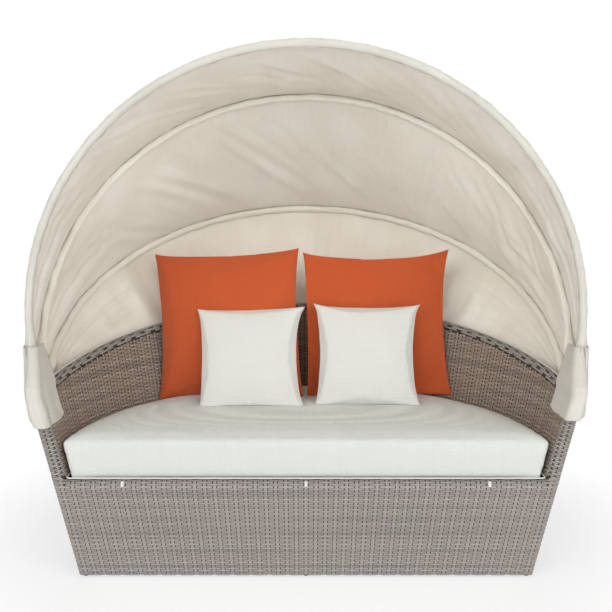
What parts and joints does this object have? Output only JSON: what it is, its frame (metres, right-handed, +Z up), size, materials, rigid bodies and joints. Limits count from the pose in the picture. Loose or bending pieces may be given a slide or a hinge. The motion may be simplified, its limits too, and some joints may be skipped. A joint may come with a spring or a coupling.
{
  "type": "outdoor daybed with canopy",
  "caption": "Half-round wicker daybed with a seat cushion, throw pillows and a cloth canopy on three bows that folds back behind the seat.",
  "frame": {"origin": "underside of the middle front foot, on the floor", "axes": "+X along the straight front, to the right as seen from the front; +Y from the front to the back; +Z up"},
  "size_m": [1.6742, 1.0364, 1.5511],
  "materials": {
    "wicker": "flat resin strand, woven over the frame, grey-brown with lighter and darker strands",
    "frame_metal": "powder coated tube",
    "bow_metal": "powder coated tube and flat straps",
    "pivot_steel": "zinc plated",
    "washer_nylon": "natural nylon",
    "foot_plastic": "black glides",
    "canopy_cloth": "plain woven beige cloth, light enough to let sun through",
    "cushion_cloth": "off-white slub weave with piping in the same cloth",
    "orange_cloth": "burnt orange plain weave",
    "white_cloth": "off-white slub weave"
  },
  "bodies": {
    "base": {"seat_deck": "wicker", "seat_edge": "wicker", "front_panel": "wicker", "outer_wall": "wicker", "inner_wall": "wicker", "rail_braid": "wicker", "bottom_ring": "frame_metal", "seat_ring": "frame_metal", "top_rail": "frame_metal", "front_post_left": "frame_metal", "front_post_right": "frame_metal", "front_middle_post": "frame_metal", "back_upright_1": "frame_metal", "back_upright_2": "frame_metal", "back_upright_3": "frame_metal", "back_upright_4": "frame_metal", "back_upright_5": "frame_metal", "seat_crossbar_left": "frame_metal", "seat_crossbar_middle": "frame_metal", "seat_crossbar_right": "frame_metal", "pivot_bracket_left": "pivot_steel", "pivot_bracket_right": "pivot_steel", "pivot_bolt_left": "pivot_steel", "pivot_bolt_right": "pivot_steel", "pivot_washer_inner_left": "washer_nylon", "pivot_washer_inner_right": "washer_nylon", "pivot_washer_middle_left": "washer_nylon", "pivot_washer_middle_right": "washer_nylon", "pivot_washer_outer_left": "washer_nylon", "pivot_washer_outer_right": "washer_nylon", "foot_front_left": "foot_plastic", "foot_front_middle": "foot_plastic", "foot_front_right": "foot_plastic", "foot_rear_left": "foot_plastic", "foot_rear_middle": "foot_plastic", "foot_rear_right": "foot_plastic", "pivot_flap_left": "canopy_cloth", "pivot_flap_right": "canopy_cloth", "seat_cushion": "cushion_cloth", "cushion_tie_left": "cushion_cloth", "cushion_tie_middle": "cushion_cloth", "cushion_tie_right": "cushion_cloth", "orange_pillow_left": "orange_cloth", "orange_pillow_right": "orange_cloth", "white_pillow_left": "white_cloth", "white_pillow_right": "white_cloth"},
    "rear_bow": {"rear_bow": "bow_metal", "rear_strap_left": "bow_metal", "rear_strap_right": "bow_metal", "canopy_rear_panel": "canopy_cloth"},
    "middle_bow": {"middle_bow": "bow_metal", "middle_strap_left": "bow_metal", "middle_strap_right": "bow_metal", "canopy_middle_panel": "canopy_cloth"},
    "front_bow": {"front_bow": "bow_metal", "front_strap_left": "bow_metal", "front_strap_right": "bow_metal", "canopy_front_panel": "canopy_cloth"}
  },
  "joints": [
    {"name": "canopy_fold", "type": "hinge", "parent": "base", "child": "rear_bow", "pos_m": [0, 0.0781, 0.495], "axis": [-1, 0, 0], "range_deg": [0, 41.5], "deforming": ["canopy_rear_panel"]},
    {"name": "middle_bow_turn", "type": "hinge", "parent": "rear_bow", "child": "middle_bow", "pos_m": [0, 0.0781, 0.495], "axis": [-1, 0, 0], "range_deg": [0, 26.5], "deforming": ["canopy_middle_panel"]},
    {"name": "front_bow_turn", "type": "hinge", "parent": "middle_bow", "child": "front_bow", "pos_m": [0, 0.0781, 0.495], "axis": [-1, 0, 0], "range_deg": [0, 26.2], "deforming": ["canopy_front_panel", "pivot_flap_left", "pivot_flap_right"]}
  ],
  "couplings": [
    {"joint": "middle_bow_turn", "follows": "canopy_fold", "ratio": 0.6385},
    {"joint": "front_bow_turn", "follows": "canopy_fold", "ratio": 0.6313}
  ]
}
